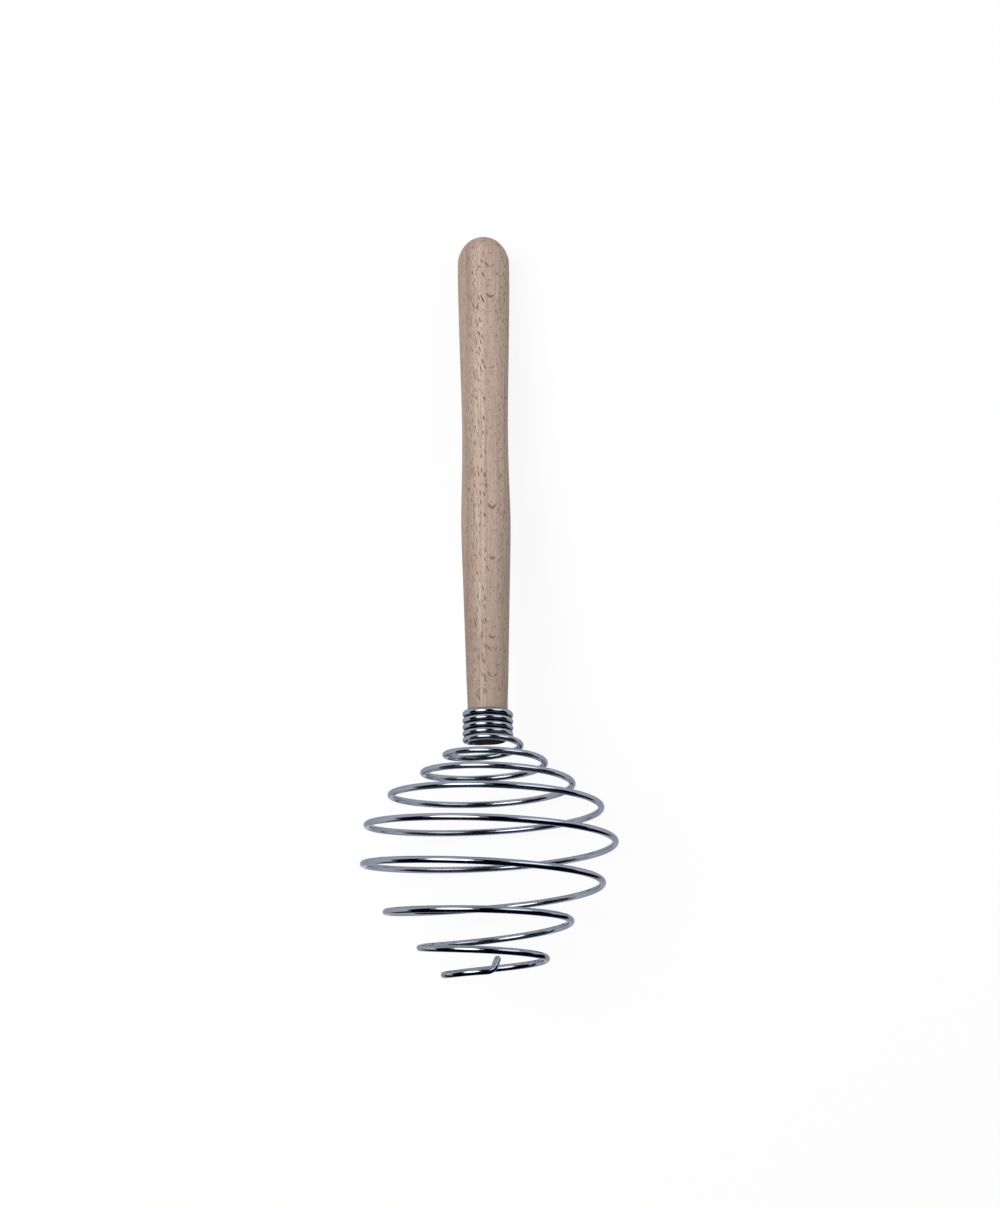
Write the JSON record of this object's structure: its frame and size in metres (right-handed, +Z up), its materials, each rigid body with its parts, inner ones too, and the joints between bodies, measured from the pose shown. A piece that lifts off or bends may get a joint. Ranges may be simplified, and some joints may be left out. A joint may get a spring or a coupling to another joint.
{
  "type": "spiral whisk",
  "caption": "Hand whisk with a turned wooden handle and one spring wire wound tight round its end, then open into an onion-shaped spiral balloon.",
  "frame": {"origin": "on the table, under the middle of the box of the whisk as it lies", "axes": "+Y along the whisk towards the handle's round end, +Z up from the table, +X to the right seen from above with the handle pointing away"},
  "size_m": [0.0948, 0.2962, 0.093],
  "materials": {
    "beech": "bare turned beech, finely sanded",
    "plated_wire": "bright plated drawn steel wire"
  },
  "bodies": {
    "balloon": {"spiral_wire": "plated_wire"},
    "handle": {"beech_handle": "beech"}
  },
  "joints": [
    {"name": "balloon_squeeze", "type": "slide", "parent": "balloon", "child": "handle", "axis": [0, -0.9886, 0.1503], "range_m": [-0.01, 0.04], "stiffness_N_per_m": 150, "deforming": ["spiral_wire"]}
  ]
}
